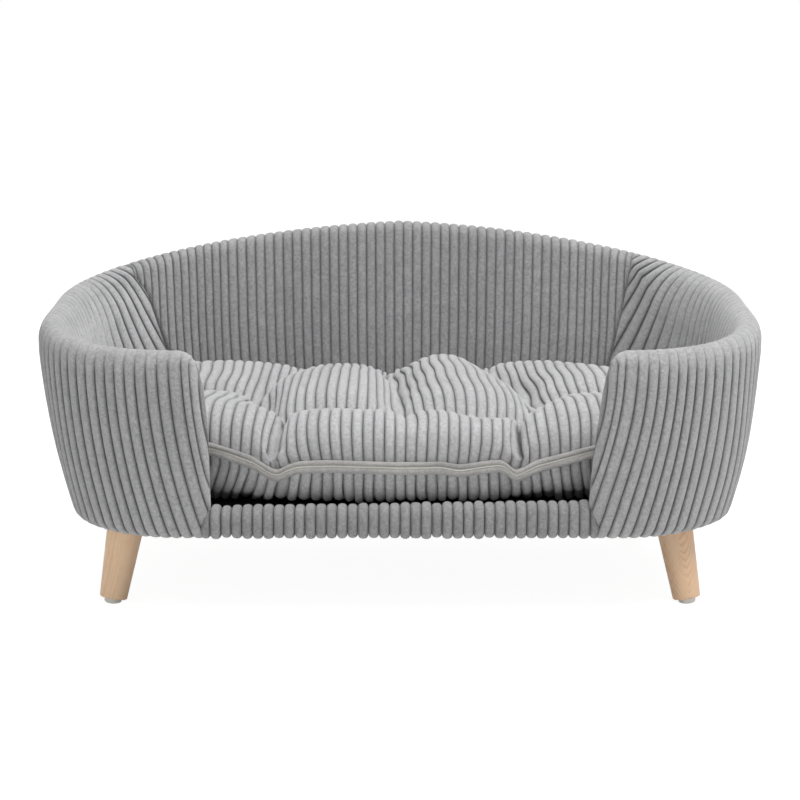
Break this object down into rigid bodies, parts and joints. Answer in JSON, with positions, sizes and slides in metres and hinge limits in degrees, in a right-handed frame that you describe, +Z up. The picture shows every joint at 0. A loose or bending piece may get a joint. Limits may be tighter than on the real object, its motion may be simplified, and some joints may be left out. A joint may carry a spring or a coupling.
{
  "type": "dog sofa bed",
  "caption": "Small tub sofa bed for a dog: a curved padded shell in wide-wale corduroy with a low sill in front, splayed wooden legs and a loose tufted cushion.",
  "frame": {"origin": "on the floor under the middle of the object's box", "axes": "+Z up, the open front faces -Y, +X to the viewer's right"},
  "size_m": [0.7, 0.4021, 0.3349],
  "materials": {
    "grey_corduroy": "wide-wale plush corduroy, mid grey",
    "pale_corduroy": "wide-wale plush corduroy, light grey",
    "cream_tape": "cream woven tape and thread",
    "black_cloth": "black spun cloth",
    "pale_wood": "pale wood, clear matt lacquer",
    "birch": "raw plywood and sawn wood",
    "pale_plastic": "pale moulded plastic",
    "foam": "cut upholstery foam",
    "fibre_fill": "loose polyester fibre",
    "steel": "zinc-plated steel"
  },
  "bodies": {
    "shell": {"base_board": "birch", "left_arm_panel": "birch", "right_arm_panel": "birch", "back_panel": "birch", "left_front_batten": "birch", "right_front_batten": "birch", "left_back_batten": "birch", "right_back_batten": "birch", "front_rail": "birch", "left_arm_foam": "foam", "right_arm_foam": "foam", "back_foam": "foam", "sill_foam": "foam", "left_arm_cover": "grey_corduroy", "right_arm_cover": "grey_corduroy", "back_cover": "grey_corduroy", "sill_cover": "grey_corduroy", "deck_cloth": "black_cloth", "dust_cloth": "black_cloth", "front_left_leg": "pale_wood", "front_right_leg": "pale_wood", "rear_left_leg": "pale_wood", "rear_right_leg": "pale_wood", "front_left_glide": "pale_plastic", "front_right_glide": "pale_plastic", "rear_left_glide": "pale_plastic", "rear_right_glide": "pale_plastic", "glide_nails": "steel", "hanger_bolts": "steel", "t_nuts": "steel", "panel_nails": "steel", "frame_screws": "steel"},
    "cushion": {"cushion_top_cover": "pale_corduroy", "cushion_bottom_cover": "pale_corduroy", "cushion_filling": "fibre_fill", "upper_edging": "pale_corduroy", "lower_edging": "pale_corduroy", "edging_tape": "cream_tape", "tuft_ties": "cream_tape"}
  },
  "joints": [
    {"name": "cushion_lift", "type": "slide", "parent": "shell", "child": "cushion", "axis": [0, 0, 1], "range_m": [0, 0.3]}
  ]
}
